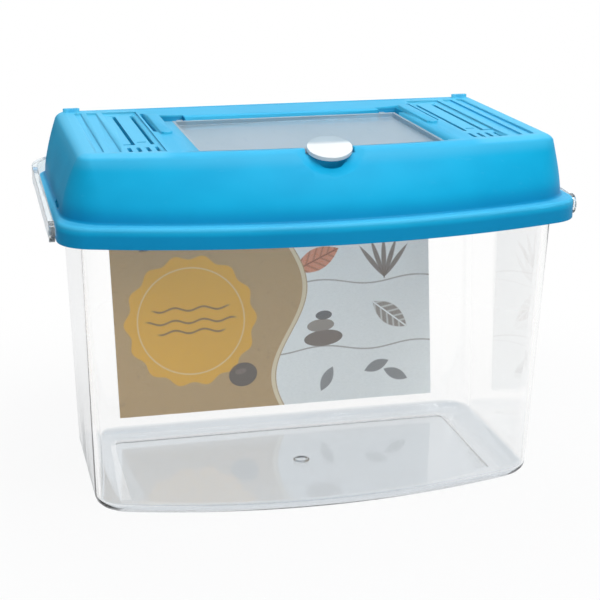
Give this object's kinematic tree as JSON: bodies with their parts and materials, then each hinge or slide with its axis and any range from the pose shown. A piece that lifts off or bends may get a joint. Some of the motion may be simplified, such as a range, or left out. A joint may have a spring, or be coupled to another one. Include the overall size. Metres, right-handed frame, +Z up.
{
  "type": "plastic pet keeper",
  "caption": "Small clear plastic pet keeper with a bowed front, a vented blue lid, a hinged feeding hatch, a folding carry handle and a printed back card.",
  "frame": {"origin": "on the standing surface, under the middle of the whole object's box", "axes": "+Z up, +X to the right seen from the front, +Y to the back, where the handle's grip lies"},
  "size_m": [0.1846, 0.1208, 0.132],
  "materials": {
    "clear_tank": "clear polished polystyrene",
    "printed_card": "matt printed card, kraft brown and pale grey",
    "blue_lid": "satin gloss sky blue",
    "clear_hatch": "clear, slightly grey",
    "clear_handle": "clear, frosted"
  },
  "bodies": {
    "base": {"tank": "clear_tank", "card": "printed_card"},
    "lid_body": {"lid": "blue_lid"},
    "hatch_body": {"hatch": "clear_hatch"},
    "handle_body": {"handle": "clear_handle"}
  },
  "joints": [
    {"name": "lid_lift", "type": "slide", "parent": "base", "child": "lid_body", "axis": [0, 0, 1], "range_m": [0, 0.06]},
    {"name": "hatch_hinge", "type": "hinge", "parent": "lid_body", "child": "hatch_body", "pos_m": [0, 0.02855, 0.1253], "axis": [-1, 0, 0], "range_deg": [0, 105]},
    {"name": "handle_swing", "type": "hinge", "parent": "lid_body", "child": "handle_body", "pos_m": [0, -0.03125, 0.1027], "axis": [1, 0, 0], "range_deg": [0, 245]}
  ]
}
